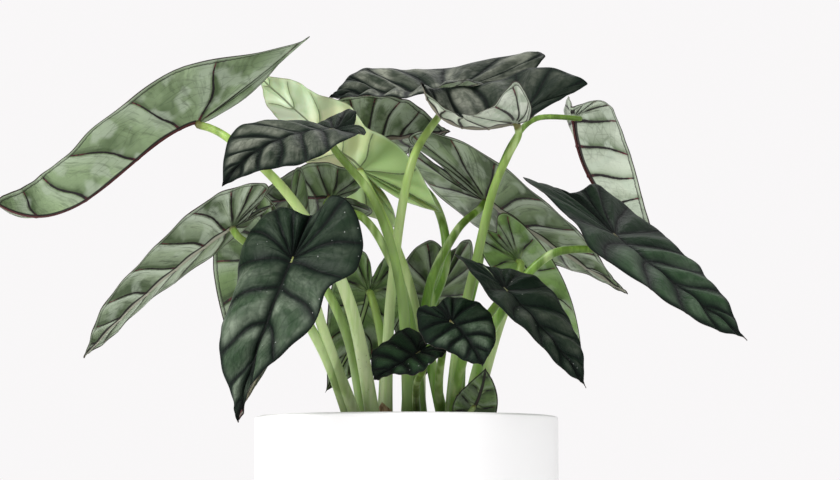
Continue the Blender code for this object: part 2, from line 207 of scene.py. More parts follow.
STALK_TOP_OLIVE = (0.08, 0.15, 0.015)
STALK_TOP_BRIGHT = (0.33, 0.46, 0.12)
STALK_STREAK = (0.32, 0.56, 0.1)
STALK_LIGHT = (0.6, 0.76, 0.36)
STALK_SPECK = (0.07, 0.06, 0.03)
STALK_FOOT_DARKENING = (0.05, 0.07, 0.02)
CROWN_BROWN = (0.06, 0.035, 0.018)
CROWN_TAN = (0.24, 0.16, 0.09)
SHEATH_TAN = (0.46, 0.33, 0.2)
SHEATH_BROWN = (0.16, 0.09, 0.045)
POT_WHITE = (0.93, 0.93, 0.93)
POT_SHADE = (0.88, 0.88, 0.885)
SOIL_COLOURS = ((0.012, 0.008, 0.005), (0.06, 0.04, 0.025))
BARK_COLOURS = ((0.045, 0.022, 0.011), (0.16, 0.085, 0.045))
GRAIN_COLOURS = ((0.45, 0.43, 0.39), (0.7, 0.68, 0.64))
FLOOR_COLOURS = ((0.86, 0.855, 0.855), (0.88, 0.875, 0.875))

# Half of a blade's flat outline, from the foot of the notch between the lobes, round one lobe and along
# the side to the tip. Each point is (forward, sideways, start): forward in shares of the lobe's length
# behind the stalk and of the front length ahead of it, sideways in shares of the half width, and start
# where on the midrib the vein that ends there begins, in shares of the front length.
HALF_OUTLINE = (
    (-0.4, 0, 0), (-0.78, 0.15, 0), (-1, 0.38, 0), (-0.9, 0.68, 0), (-0.5, 0.9, 0), (0, 1, 0),
    (0.24, 0.95, 0.09), (0.45, 0.79, 0.23), (0.63, 0.57, 0.4), (0.78, 0.34, 0.58), (0.89, 0.15, 0.75),
    (0.96, 0.04, 0.9), (1, 0, 1),
)

# What a leaf has unless its own entry says otherwise. Lengths are in millimetres and angles in degrees.
# base is where the stalk meets the blade, tip its point and width half its width. lobe is how long the lobes
# behind the stalk are, notch how deep the notch leaves them joined, in shares of the shorter one, point how
# pointed they are, or how blunt where it is negative, spread how far out their points lie, in shares of
# width, and full how full the sides are towards the tip. scallop swells a side beside the stalk and draws it
# in further on, in waves that die out towards the tip, in shares of width.
# roll and twist turn the blade about its midrib, all along and more towards the tip; fold is the V of its
# halves and curl how they bend on from there; arch and sway bow the midrib up and sideways, and late moves
# that bow towards the tip; lift raises the lobes; wave is the height of the edge's ripples, ripples how many
# a side has and phase where they start. A stalk leaves its crown at root and runs via some points. It comes
# up square to its blade, or runs on into the midrib as meets goes to 1, or comes from the tip's side where
# meets is negative, and stalk has its radius at the top and at the foot. Pairs are for the left and the right
# half, seen from the stalk to the tip.
# The rest is how the leaf looks. tone is its finish, pale on a young leaf; silver, green, pale_rib, shaded
# and patchy are for its underside, and the next three for its upper face: how much grey-green shows on its
# swellings, partly its own grey and partly painted sheen, how fresh a green it is, and how many pale specks
# of dust and painted glints it has; veins is how many pairs of veins it has, and quilt how far the fields
# between them swell; bright is for its stalk, from olive at 0 to green at 1. A dry sheath at a stalk's foot
# has its height and, in radians, the way that its closed side faces.
LEAF = dict(
    notch=0.4, point=(0, 0), spread=0.4, full=(0, 0), scallop=(0, 0),
    roll=0, twist=0, fold=(15, 15), curl=(0, 0), arch=5, sway=0, late=0, lift=(0, 0),
    wave=1.6, ripples=3, phase=0, meets=0, stalk=(2.1, 4), tone="dark",
    silver=0.5, green=0.2, pale_rib=0, shaded=0, patchy=0.7, grey=0.3, fresh=0, dust_and_glints=0, veins=9, quilt=2,
    bright=0.5, sheath=None,
)

LEAVES = (
    dict(
        name="upper_left", tone="silver",
        base=(-124, -20, 338), tip=(-234, -70, 284), width=35, lobe=(84, 24),
        notch=0.3, point=(0.8, 0), spread=0.92, full=(1.8, 0.3), scallop=(0.05, 0),
        roll=43, twist=33, fold=(20, 75), arch=-4, sway=-18, late=1.25, lift=(8, 0),
        crown="left", root=(-16, -9), stalk=(2.2, 4.8), meets=0.5,
        via=((-36, -24, 238), (-70, -28, 295), (-104, -28, 327)),
        silver=0.75, green=0.4, patchy=0.6, veins=8, bright=1,
    ),
    dict(
        name="new_pale", tone="pale", base=(-28, 38, 317), tip=(-93, 40, 377), width=25, lobe=(54, 38),
        point=(0.5, 0.3), spread=0.6, full=(0.4, 0.3), scallop=(0.08, 0.1), wave=3.4, ripples=5, phase=0.5,
        roll=60, twist=10, fold=(8, 8), curl=(10, 10), arch=0,
        crown="middle", root=(8, 14), meets=0.6, via=((6, 22, 225), (-6, 26, 268)),
        quilt=4.2, bright=1,
    ),
    dict(
        name="mid_left", base=(-43, -50, 330), tip=(-104, -90, 292), width=36, lobe=(12, 20),
        notch=0.9, scallop=(0, -0.06), roll=-18, twist=-35, fold=(4, -6), arch=7, sway=-6, lift=(3, 10),
        crown="middle", root=(2, 4), via=((-4, -20, 243), (-20, -34, 292)),
        grey=0.5, veins=12, quilt=3.2, bright=0.3,
    ),
    dict(
        name="top_back", base=(23, 30, 365), tip=(-46, -12, 355), width=35, lobe=(22, 70),
        roll=-5, twist=-20, fold=(6, 25), arch=0, sway=-6, lift=(0, 13),
        crown="left", root=(-13, 0), via=((-9, 0, 240), (4, 4, 320)),
        silver=0.7, grey=0.85, veins=10, quilt=3.8, bright=0.8, sheath=(32, -1.9),
    ),
    dict(
        name="top_front", base=(64, -30, 337), tip=(9, -46, 358), width=43, lobe=(24, 40),
        point=(0, 0.7), spread=0.7, roll=-45, fold=(46, 10), arch=-22, sway=-7, lift=(22, -9),
        crown="right", root=(24, -8), meets=-0.8,
        via=((31, -12, 210), (41, -15, 255), (52, -18, 300), (60, -24, 318)),
        silver=2, green=0, pale_rib=0.7, patchy=0.2, grey=0.6, quilt=3.4,
    ),
    dict(
        name="front_left", base=(-64, -94, 250), tip=(-92, -122, 158), width=38, lobe=(38, 30), notch=1,
        full=(-0.35, 0.05), scallop=(0.12, 0.14),
        roll=-22, twist=18, fold=(12, 38), curl=(-20, -90), arch=2, sway=-1, lift=(8, 0),
        wave=3.2, ripples=3.5, phase=0.6,
        crown="left", root=(-22, -10), via=((-50, -50, 220), (-58, -76, 256)),
        grey=0.5, fresh=0.5, dust_and_glints=0.7, quilt=3.4, bright=0.8,
    ),
    dict(
        name="lower_left", tone="silver",
        base=(-100, -64, 271), tip=(-181, -90, 195), width=27, lobe=(30, 28), full=(0.5, 0.3),
        roll=42, twist=10, fold=(8, 28), arch=6, sway=-2,
        crown="left", root=(-27, -5), via=((-50, -42, 205), (-84, -66, 256)),
        silver=0.55, green=0.1, pale_rib=1, patchy=1, veins=11, quilt=2.4, sheath=(22, 3.5),
    ),
    dict(
        name="behind_left", tone="silver",
        base=(-72, -6, 262), tip=(-101, 14, 168), width=43, lobe=(38, 48), full=(0, -0.5),
        roll=42, fold=(8, 60), curl=(4, 4), arch=2, sway=-8,
        crown="left", root=(-22, -2), via=((-36, -6, 215), (-54, -7, 248)),
        silver=0.25, green=0.6, pale_rib=0.5, shaded=0.3, bright=0.4,
    ),
    dict(
        name="right", base=(122, -41, 269), tip=(194, -74, 206), width=44, lobe=(46, 60),
        notch=1, point=(0, -0.7), scallop=(0.08, -0.1),
        twist=20, fold=(12, -4), arch=0, sway=-6, lift=(8, -4),
        crown="right", root=(31, -12), via=((50, -26, 215), (84, -36, 258)),
        grey=0.16, fresh=0.8, veins=10, quilt=3.2, bright=0, sheath=(28, -0.6),
    ),
    dict(
        name="broad_right", tone="silver", base=(49, 54, 300), tip=(138, 76, 244), width=38, lobe=(60, 60),
        roll=-28, twist=10, fold=(14, -4), arch=-5, sway=-4, lift=(9, -7),
        crown="right", root=(25, -3), via=((12, 18, 235), (30, 28, 278)),
        silver=0.65, green=0.3, pale_rib=1, patchy=1, veins=10, quilt=3, bright=0,
    ),
    dict(
        name="low_right", tone="silver",
        base=(67, 2, 258), tip=(107, 24, 188), width=17, lobe=(30, 30), notch=0.8,
        roll=-58, fold=(8, 8), sway=-3, lift=(0, 4),
        crown="right", root=(34, -3), via=((54, -6, 215),),
        silver=0.6, green=1, pale_rib=1, patchy=0.3, veins=8,
    ),
    dict(
        name="small_front_right",
        base=(26, -78, 216), tip=(43, -95, 190), width=24, lobe=(16, 16), notch=0.85,
        roll=12, twist=15, fold=(8, -4), arch=0, sway=2, lift=(0, 3),
        crown="right", root=(22, -12), stalk=(1.8, 3.4),
        via=((20, -18, 164), (19, -36, 184), (21, -52, 200)),
        fresh=0.6, dust_and_glints=1, veins=8, quilt=2.8, bright=0.1,
    ),
    dict(
        name="small_front_left", base=(7, -72, 199), tip=(-18, -92, 183), width=22, lobe=(12, 12),
        roll=-10, twist=-8, fold=(2, 22), arch=-2, sway=-3, lift=(0, -7),
        crown="middle", root=(6, 6), stalk=(1.8, 3), via=((6, -4, 164), (6, -44, 182)),
        grey=0.06, fresh=1, dust_and_glints=1, veins=8, bright=0.3, sheath=(26, -1.4),
    ),
    dict(
        name="upper_right", tone="silver", base=(103, 50, 351), tip=(151, 46, 279), width=38, lobe=(12, 9),
        notch=0.8, full=(0, 0.5), roll=-110, twist=30, fold=(110, 10), curl=(0, 20), arch=10, sway=10,
        crown="right", root=(31, 1), stalk=(1.6, 3.4),
        via=((34, 2, 215), (43, 6, 255), (52, 9, 300), (64, 17, 331), (80, 37, 349)),
        silver=1.5, green=0, patchy=0.4, bright=0,
    ),
    dict(
        name="behind_middle", tone="silver",
        base=(-26, 66, 339), tip=(27, 80, 347), width=35, lobe=(26, 26),
        roll=-35, fold=(15, 13), arch=-1, lift=(0, 6),
        crown="middle", root=(-1, 16), via=((4, 22, 205), (24, 38, 262), (16, 50, 300), (-6, 60, 320)),
        silver=0.95, green=0.1, pale_rib=0.5, patchy=0.9, quilt=3.4, bright=0,
    ),
    dict(
        name="front_right", base=(57, -60, 236), tip=(101, -95, 178), width=28, lobe=(24, 30),
        notch=1, point=(0, -0.7), roll=7, twist=15, fold=(8, 15), arch=2, lift=(-4, -2),
        crown="right", root=(26, -15), via=((34, -40, 200),),
        grey=0.12, dust_and_glints=1, quilt=3, bright=0.1,
    ),
    dict(
        name="rim_right", base=(39, -43, 168), tip=(46, -41, 192), width=13, lobe=(9, 9),
        roll=-112, fold=(12, 12), arch=2, sway=1, wave=0.8,
        crown="right", root=(33, -17), stalk=(1.5, 2.2), meets=0.8, via=((34, -22, 153), (37, -41, 157)),
        silver=0.1, green=0.9, shaded=0.35, veins=6,
    ),
    dict(
        name="back_left", tone="silver", base=(-23, 28, 241), tip=(-50, 46, 181), width=23, lobe=(24, 24),
        roll=45, fold=(0, 5), arch=-2, sway=-3, lift=(0, 10),
        crown="left", root=(-15, 2), via=((-14, 12, 205),),
        green=0.8, pale_rib=1, veins=8,
    ),
    dict(
        name="back_middle", tone="silver",
        base=(17, 70, 243), tip=(8, 86, 187), width=26, lobe=(40, 40), notch=0.9,
        roll=15, fold=(15, 18), curl=(15, 15), arch=8, lift=(0, 4),
        crown="middle", root=(10, 19), via=((8, 46, 205),),
        silver=0.2, green=0.6, pale_rib=0.6, shaded=0.25, quilt=2.8, bright=0, sheath=(28, 1.5),
    ),
    dict(
        name="inner_left", tone="silver", base=(-46, 20, 298), tip=(-95, 35, 295), width=25, lobe=(23, 23),
        roll=45, fold=(4, 15), arch=2, lift=(4, 0),
        crown="middle", root=(11, 6), via=((2, 6, 222), (-7, 8, 253), (-26, 6, 284)),
        silver=0.4, green=0.5, shaded=0.25, bright=0.2,
    ),
)


# Meshes

# The corners of a face, the other way round
FLIPPED = [0, 3, 2, 1]


def unit(v):
    return v / np.linalg.norm(v, axis=-1, keepdims=True)


def hermite(rows, knots, at):
    """Values at the given places of a smooth curve through rows, which lie at the knots."""
    rows, at = np.array(rows, float), np.asarray(at, float)
    slopes = np.gradient(rows, knots, axis=0)
    i = np.clip(np.searchsorted(knots, at, side="right") - 1, 0, len(knots) - 2)
    step = (knots[i + 1] - knots[i])[..., None]
    s = (at - knots[i])[..., None] / step
    start = (1 + 2 * s) * (1 - s) ** 2 * rows[i] + s * (1 - s) ** 2 * step * slopes[i]
    return start + s * s * (3 - 2 * s) * rows[i + 1] + s * s * (s - 1) * step * slopes[i + 1]


def around(count):
    """Angles all round a circle."""
    return np.linspace(0, 2 * np.pi, count, endpoint=False)


def ring(radius, height, turn):
    """Points round the upright axis, at the angles of turn."""
    return np.stack([radius * np.cos(turn), radius * np.sin(turn), 0 * turn + height], -1)


def quads(index, closed=False):
    """The faces between the rows and columns of a grid of point numbers, and between its last column and its
    first one where it is closed."""
    if closed:
        index = np.hstack([index, index[:, :1]])
    return np.stack([index[:-1, :-1], index[1:, :-1], index[1:, 1:], index[:-1, 1:]], -1).reshape(-1, 4)


def numbered(rows, columns, start=0):
    """A grid of point numbers, counted from start."""
    return start + np.arange(rows * columns).reshape(rows, columns)


def closed_tube(rings, start=0):
    """(points, faces) of a solid with closed ends from rings of points, which are counted from start."""
    index = numbered(*rings.shape[:2], start)
    faces = quads(index, closed=True)[:, FLIPPED].tolist()
    return rings.reshape(-1, 3), faces + [index[0, ::-1].tolist(), index[-1].tolist()]


def smooth_mesh(name, points, faces, *materials):
    """A smooth mesh from points in millimetres and faces."""
    mesh = bpy.data.meshes.new(name)
    mesh.from_pydata(points * MM, [], faces)
    mesh.polygons.foreach_set("use_smooth", np.ones(len(faces), bool))
    for material in materials:
        mesh.materials.append(MATERIALS[material])
    return mesh


def note(mesh, name, values):
    """Gives each point of a mesh three numbers, which the materials read."""
    layer = mesh.attributes.new(name, "FLOAT_VECTOR", "POINT")
    layer.data.foreach_set("vector", values.astype(np.float32).ravel())


def add(name, data):
    """A new object in the scene."""
    made = bpy.data.objects.new(name, data)
    bpy.context.scene.collection.objects.link(made)
    return made


def put(mesh):
    """Adds a mesh to the scene as a piece of the plant's one body."""
    piece = add(mesh.name, mesh)
    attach(piece, "root")
    return piece


# Blades

def leaf_frame(leaf):
    """A leaf's base, the span from there to its tip, and the directions across and up before it bends."""
    base, tip = np.array(leaf["base"], float), np.array(leaf["tip"], float)
    forward = unit(tip - base)
    level = unit(np.cross((0, 0, 1), forward))
    roll = math.radians(leaf["roll"])
    side = math.cos(roll) * level + math.sin(roll) * np.cross(forward, level)
    return base, tip - base, side, np.cross(forward, side)


def blade_surface(leaf, u, t):
    """A blade's middle surface at arrays u and t, in millimetres, as part.py makes it, with its upward
    normal, and per point: the span of the half there, the distance from the midrib and the share of the
    midrib's length."""
    base, span, side, up = leaf_frame(leaf)
    front = np.linalg.norm(span)
    a, half, hand = np.abs(t), (t < 0).astype(int), np.where(t < 0, -1.0, 1.0)

    def pick(key):
        return np.take(leaf[key], half).astype(float)

    lobe, width = pick("lobe"), leaf["width"]

    row = hermite(HALF_OUTLINE, np.linspace(0, 1, len(HALF_OUTLINE)), u)
    ahead, out = row[..., 0], np.maximum(row[..., 1], 0)
    joined = -HALF_OUTLINE[0][0] * lobe - leaf["notch"] * min(leaf["lobe"])
    behind = ahead * lobe + joined * np.maximum(0, 1 - 6 * u) ** 2
    pull = pick("point") * ahead**2 * np.minimum(1, 12 * u)
    edge_x = np.where(ahead > 0, ahead * front, behind)
    edge_y = width * np.where(ahead > 0, out ** (1 / (1 + pick("full"))), out + pull * (leaf["spread"] - out))
    front_share = np.maximum(ahead, 0)
    edge_y *= 1 + pick("scallop") * np.cos(5 * np.pi * front_share) * (1 - front_share)
    foot = np.maximum(row[..., 2], 0) * front
    reach = np.hypot(edge_x - foot, edge_y)
    eased = reach * np.minimum(1, 4 * u)
    x = (1 - a) ** 2 * foot + 2 * a * (1 - a) * ((edge_x + foot) / 2 + VEIN_BEND[0] * eased) + a * a * edge_x
    y = 2 * a * (1 - a) * (edge_y / 2 + VEIN_BEND[1] * eased) + a * a * edge_y

    s = (np.maximum(x, 0) / front)[..., None]
    bow = 4 * (leaf["arch"] * up + leaf["sway"] * side)
    late = leaf["late"]
    along = unit(span + ((1 - late) * (1 - 2 * s) + 2 * late * s * (2 - 3 * s)) * bow)
    middle = base + s * span + s * (1 - s) * (1 + late * (2 * s - 1)) * bow
    middle += np.minimum(x, 0)[..., None] * along
    side = unit(side - np.sum(side * along, -1, keepdims=True) * along)
    turn = math.radians(leaf["twist"]) * s
    side = np.cos(turn) * side + np.sin(turn) * np.cross(along, side)
    up = np.cross(along, side)

    rise, bend = np.radians(pick("fold")), np.radians(pick("curl"))
    bend = np.where(bend == 0, 0.001, bend)
    angle = rise + bend * y / width
    across = width / bend * (np.sin(angle) - np.sin(rise))
    raised = width / bend * (np.cos(rise) - np.cos(angle))
    raised += pick("lift") * (np.minimum(x, 0) / lobe) ** 2 * np.minimum(1, y / (0.3 * width))
    hump = np.sqrt(np.sin(np.pi * np.clip(u, 0, 1)))
    ripple = np.sin(2 * np.pi * (leaf["ripples"] * u + leaf["phase"] + half * 0.37))
    frill = np.sin(2 * np.pi * (3.7 * leaf["ripples"] * u + 2.1 * leaf["phase"] + half * 0.61))
    raised += (leaf["wave"] * ripple + FRILL * frill * a**3) * a**WAVE_EDGE_POWER * hump
    room = np.minimum(1, reach / QUILTED_WIDTH)
    pillow = np.sin(np.pi * leaf["veins"] * u) ** 2 * np.sin(np.pi * a) ** 0.7
    pillow *= 1 - np.clip(1.2 - 5 * front_share, 0, 1) * (1 - a) ** 1.5
    raised += leaf["quilt"] * room * pillow
    point = middle + (hand * across)[..., None] * side + raised[..., None] * up
    normal = np.cos(angle)[..., None] * up - (hand * np.sin(angle))[..., None] * side
    return point, normal, reach, y, s[..., 0]


def blade(leaf):
    """A blade as an upper and a lower skin with a rim between them, and what its materials read about each
    place: how far it is from the veins, the midrib and the edge."""
    veins = leaf["veins"]
    rows, columns = ROWS_PER_VEIN * veins + 1, 2 * COLUMNS + 1
    u, t = np.meshgrid(np.linspace(0, 1, rows), np.linspace(-1, 1, columns), indexing="ij")
    t = np.sign(t) * np.abs(t) ** COLUMN_CROWDING
    point, normal, reach, away, share = blade_surface(leaf, u, t)
    a = np.abs(t)
    spacing = np.linalg.norm(np.gradient(point, axis=0), axis=-1) * ROWS_PER_VEIN
    phase = veins * u + WANDER * np.sin(5 * a + 9 * leaf["phase"] + 2.3 * veins * u) * np.minimum(1, 3 * a)
    phase = np.where(u * (1 - u) == 0, veins * u, phase)
    from_vein = np.abs(phase - np.round(phase)) * spacing
    to_edge = (1 - a) * reach

    big = leaf["width"] / FULL_WIDTH
    half_thick = 0.5 * THICKNESS * np.clip(to_edge / RIM_TAPER, RIM_THICKNESS_SHARE, 1)
    rib = MIDRIB_HEIGHT * big * (1 - MIDRIB_THINNING * share) * np.exp(-((away / (MIDRIB_WIDTH * big)) ** 2))
    ridge = VEIN_HEIGHT * big * (1 - VEIN_THINNING * a) * np.exp(-((from_vein / VEIN_WIDTH) ** 2))
    ridge *= np.clip(spacing / CLOSE_VEINS, 0, 1)
    groove = VEIN_GROOVE * ridge + MIDRIB_GROOVE * rib
    upper = np.clip(point + (half_thick - groove)[..., None] * normal, *LIMITS)
    lower = np.clip(point - (half_thick + ridge + rib)[..., None] * normal, *LIMITS)

    # At the notch both halves start on the midrib, and share their points there
    index = numbered(rows, columns)
    index[0, :COLUMNS] = index[0, :COLUMNS:-1]
    skin = quads(index)
    right, left = index[:, 0], index[:, -1]
    sides = ((right[1:], right[:-1]), (left[:-1], left[1:]))
    rims = [np.stack([first, second, second + u.size, first + u.size], -1) for first, second in sides]
    faces = np.concatenate([skin, skin[:, ::-1] + u.size, *rims])
    young = leaf["tone"] == "pale"
    dress = ("young", "young", "rim") if young else ("top", "under", "rim")
    points = np.concatenate([upper.reshape(-1, 3), lower.reshape(-1, 3)])
    mesh = smooth_mesh("leaf_" + leaf["name"], points, faces.tolist(), *dress)
    kinds = np.repeat((0, 1, 2), (len(skin), len(skin), 2 * rows - 2)).astype(np.int32)
    mesh.polygons.foreach_set("material_index", kinds)
    for name, values in (
        ("vein", (phase, spacing, a)),
        ("place", (away, to_edge, share)),
        ("under", (leaf["silver"], leaf["green"], leaf["pale_rib"])),
        ("upper", (leaf["grey"], leaf["fresh"], leaf["dust_and_glints"])),
        ("build", (leaf["shaded"], big, leaf["patchy"])),
    ):
        flat = np.stack([np.broadcast_to(v, u.shape).ravel() for v in values], -1)
        note(mesh, name, np.concatenate([flat, flat]))
    mesh.validate()
    piece = put(mesh)
    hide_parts("blade_" + leaf["name"])


# Stalks

def stalk_line(leaf, count):
    """Points up a leaf stalk, into the underside of its blade, and the radius and share of length at each."""
    base, span, side, up = leaf_frame(leaf)
    along = unit(span + 4 * (1 - leaf["late"]) * (leaf["arch"] * up + leaf["sway"] * side))
    up = unit(np.cross(along, side))
    top, foot = leaf["stalk"]
    droop = math.tan(math.radians(max(0, -min(leaf["fold"])))) + abs(leaf["meets"])
    end = base - (BLADE_THICKNESS / 2 + 2 * GAP + droop * top) * up
    neck = end - STALK_NECK * unit((1 - leaf["meets"]) * up + leaf["meets"] * along)
    root = (*leaf["root"], SOIL_LEVEL - CROWN_DEPTH / 3)
    points = np.array([root, *leaf["via"], neck, end], float)
    knots = np.concatenate([[0], np.cumsum(np.sqrt(np.linalg.norm(np.diff(points, axis=0), axis=1)))])
    line = hermite(points, knots, np.linspace(0, knots[-1], count))
    share = np.linspace(0, 1, count)
    radii = foot + (top - foot) * np.minimum(1, STALK_TAPER_SPEED * share) ** STALK_TAPER_POWER
    line = np.concatenate([line, [base + STALK_END_RISE * up]])
    return line, np.append(radii, top * STALK_END_SHARE), np.append(share, 1)


def stalk_rings(line, radii):
    """Rings of points round a stalk's line, which make it slightly oval."""
    ahead = unit(np.gradient(line, axis=0))
    across = unit(np.cross(ahead, STALK_RING_START))[:, None]
    other = np.cross(ahead[:, None], across)
    turn = around(STALK_SIDES)[:, None]
    girth = 1 + STALK_OVAL * np.cos(2 * turn + 0.7)
    return line[:, None] + (np.cos(turn) * across + np.sin(turn) * other) * radii[:, None, None] * girth


def crown_rings(name):
    """The rings of a clump's short stem: a rounded, fibrous stub that stands in the soil."""
    top, foot = SOIL_LEVEL + CROWN_TOP, SOIL_LEVEL - CROWN_DEPTH
    profile = (
        (0.97, foot), (0.99, SOIL_LEVEL), (0.90, SOIL_LEVEL + 3), (0.70, top - 2), (0.35, top), (0.05, top),
    )
    turn = around(CROWN_RING)
    rings = []
    for share, z in profile:
        groove = CROWN_GROOVE_SHARE * (1 + np.sin(CROWN_GROOVES * turn + z)) * (z >= SOIL_LEVEL)
        rings.append(ring(CROWN_RADIUS * share * (1 - groove), z, turn) + (*CROWNS[name], 0))
    return np.array(rings)


def clump(name, leaves):
    """The stalks of one crown's leaves, and the crown, as one piece."""
    shape, faces = closed_tube(crown_rings(name))
    points, info = [shape], [np.tile((0.0, 0.0, 1.0), (len(shape), 1))]
    total = len(shape)
    for leaf in leaves:
        line, radii, share = stalk_line(leaf, STALK_POINTS)
        if leaf["sheath"]:
            radii = radii * (1 + STALK_SWELL * np.exp(-((share / STALK_SWELL_REACH) ** 2)))
        shape, sheet = closed_tube(stalk_rings(line, radii), total)
        points.append(shape)
        faces += sheet
        values = np.stack([share, np.full_like(share, leaf["bright"]), np.zeros_like(share)], -1)
        info.append(np.repeat(values, STALK_SIDES, axis=0))
        total += len(shape)
    mesh = smooth_mesh("stems_" + name, np.concatenate(points), faces, "stalk")
    note(mesh, "stem", np.concatenate(info))
    piece = put(mesh)
    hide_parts("stalks_" + name)


def sheath(leaf):
    """A dry, papery sheath that wraps the foot of a stalk on one side and ends in a torn point."""
    line, radii, _ = stalk_line(leaf, SHEATH_POINTS)
    height, turn_to = leaf["sheath"]
    reach = np.linalg.norm(np.diff(line, axis=0), axis=1).cumsum()
    last = int(np.searchsorted(reach, height)) + 1
    line, radii = line[SHEATH_FIRST_POINT:last], radii[SHEATH_FIRST_POINT:last]
    ahead = unit(np.gradient(line, axis=0))
    across = unit(np.cross(ahead, (math.cos(turn_to), math.sin(turn_to), 0)))[:, None]
    outward = np.cross(across, ahead[:, None])
    up = np.linspace(0, 1, len(line))[:, None]
    angle = np.linspace(-1, 1, SHEATH_COLUMNS) * SHEATH_WRAP * (1 - up) ** SHEATH_TAPER_POWER
    radius = radii[:, None] * SHEATH_WIDENING + SHEATH_GAP + SHEATH_FLARE * up**2
    round_it, up_it = SHEATH_WRINKLES
    radius = radius + SHEATH_WRINKLE * np.sin(round_it * angle + up_it * up)
    turned = np.cos(angle)[..., None] * outward + np.sin(angle)[..., None] * across
    sheet = line[:, None] + radius[..., None] * turned
    faces = quads(numbered(len(line), SHEATH_COLUMNS))[:, FLIPPED]
    mesh = smooth_mesh("sheath_" + leaf["name"], sheet.reshape(-1, 3), faces.tolist(), "sheath")
    piece = put(mesh)
    piece.modifiers.new("thickness", "SOLIDIFY").thickness = SHEATH_THICKNESS * MM


# Pot and soil

def pot():
    """The pot, turned from a profile of (radius, height): up inside, over the lip and down outside."""
    inner = POT_RADIUS - POT_WALL
    lip, under_lip = POT_WALL / 2, POT_HEIGHT - 2 * LIP_DROP
    profile = [(POT_CENTRE, POT_FLOOR)]
    profile += [(inner - POT_INSIDE_BEVEL, POT_FLOOR), (inner, POT_FLOOR + POT_INSIDE_BEVEL)]
    profile += [(inner, z) for z in np.linspace(POT_FLOOR + 12, under_lip, 12)]
    profile += [
        (POT_RADIUS - lip - lip * math.cos(a), POT_HEIGHT - LIP_DROP * (1 - math.sin(a)))
        for a in np.linspace(0, math.pi, 13)
    ]
    profile += [(POT_RADIUS, z) for z in np.linspace(under_lip, POT_FOOT_CHAMFER, 24)[:-1]]
    profile += [
        (POT_RADIUS - POT_FOOT_CHAMFER * (1 - math.cos(a)), POT_FOOT_CHAMFER * (1 - math.sin(a)))
        for a in np.linspace(0, math.pi / 2, 6)
    ]
    profile.append((POT_CENTRE, 0))
    points = np.concatenate([ring(r, z, around(POT_SIDES)) for r, z in profile])
    faces = quads(numbered(len(profile), POT_SIDES), closed=True)
    piece = put(smooth_mesh("white_pot", points, faces.tolist(), "pot"))
    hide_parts("pot")


def soil_height(x, y):
    """How high the soil's surface lies at a place, with its lumps."""
    share = np.hypot(x, y) / SOIL_RADIUS
    waves = ((0.11, 0.07, 0.3), (-0.08, 0.13, 1.7), (0.19, -0.16, 4.0), (0.31, 0.24, 2.2), (-0.45, 0.52, 5.1))
    lumps = sum(
        size * np.sin(scale * (a * x + b * y) + c) / len(waves)
        for a, b, c in waves
        for size, scale in ((SOIL_LUMP, 1), (SOIL_SMALL_LUMP, 4))
    )
    return SOIL_LEVEL + SOIL_CROWNING * (1 - 2 * share**2) + lumps


def soil(random):
    """The soil: an uneven top with crumbs, bits of bark and a few pale grains pressed into it."""
    turn = around(SOIL_SIDES)
    r, a = np.meshgrid(np.linspace(0.02, 1, SOIL_RINGS) * SOIL_RADIUS, turn, indexing="ij")
    x, y = r * np.cos(a), r * np.sin(a)
    z = soil_height(x, y) + random.normal(0, SOIL_ROUGHNESS, r.shape)
    z[-1] = SOIL_LEVEL - SOIL_CROWNING - SOIL_EDGE_DROP
    foot = ring(SOIL_RADIUS, POT_FLOOR + GAP, turn)
    points = [np.stack([x, y, z], -1).reshape(-1, 3), foot]
    index = numbered(SOIL_RINGS + 1, SOIL_SIDES)
    faces = quads(index, closed=True).tolist() + [index[0].tolist(), index[-1, ::-1].tolist()]
    kinds = [0] * len(faces)
    total = index.size

    ball = bmesh.new()
    bmesh.ops.create_icosphere(ball, subdivisions=1, radius=1)
    corners = np.array([v.co for v in ball.verts])
    sheets = np.array([[v.index for v in f.verts] for f in ball.faces])
    ball.free()
    for _ in range(CRUMBS):
        where = SOIL_RADIUS * CRUMB_REACH * math.sqrt(random.random())
        angle = 2 * math.pi * random.random()
        px, py = where * math.cos(angle), where * math.sin(angle)
        kind = random.choice(3, p=CRUMB_SHARES)
        size = [random.uniform(*limits) for limits in CRUMB_SIZES][kind]
        squash = (1, random.uniform(0.5, 1), random.uniform(0.3, 0.7)) if kind == 1 else (1, 0.9, 0.8)
        uneven = 1 + random.uniform(-CRUMB_UNEVENNESS, CRUMB_UNEVENNESS, (len(corners), 1))
        shape = corners * uneven * squash * size
        spin, tilt = random.uniform(0, 2 * math.pi), random.uniform(-CRUMB_TILT, CRUMB_TILT)
        c, s = math.cos(spin), math.sin(spin)
        shape = shape @ np.array([[c, s, 0], [-s, c, 0], [0, 0, 1]])
        shape[:, 2] += tilt * shape[:, 0]
        points.append(shape + (px, py, soil_height(px, py) + CRUMB_RISE * size))
        faces += (sheets + total).tolist()
        kinds += [int(kind)] * len(sheets)
        total += len(corners)
    mesh = smooth_mesh("potting_soil", np.concatenate(points), faces, "soil", "bark", "grain")
    mesh.polygons.foreach_set("material_index", np.array(kinds, np.int32))
    mesh.polygons.foreach_set("use_smooth", np.array([len(f) == 4 for f in faces]))
    piece = put(mesh)
    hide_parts("soil")


# Materials

# The numbers of a mix node's colour sockets
MIX_A = 6
MIX_B = 7
MIX_RESULT = 2


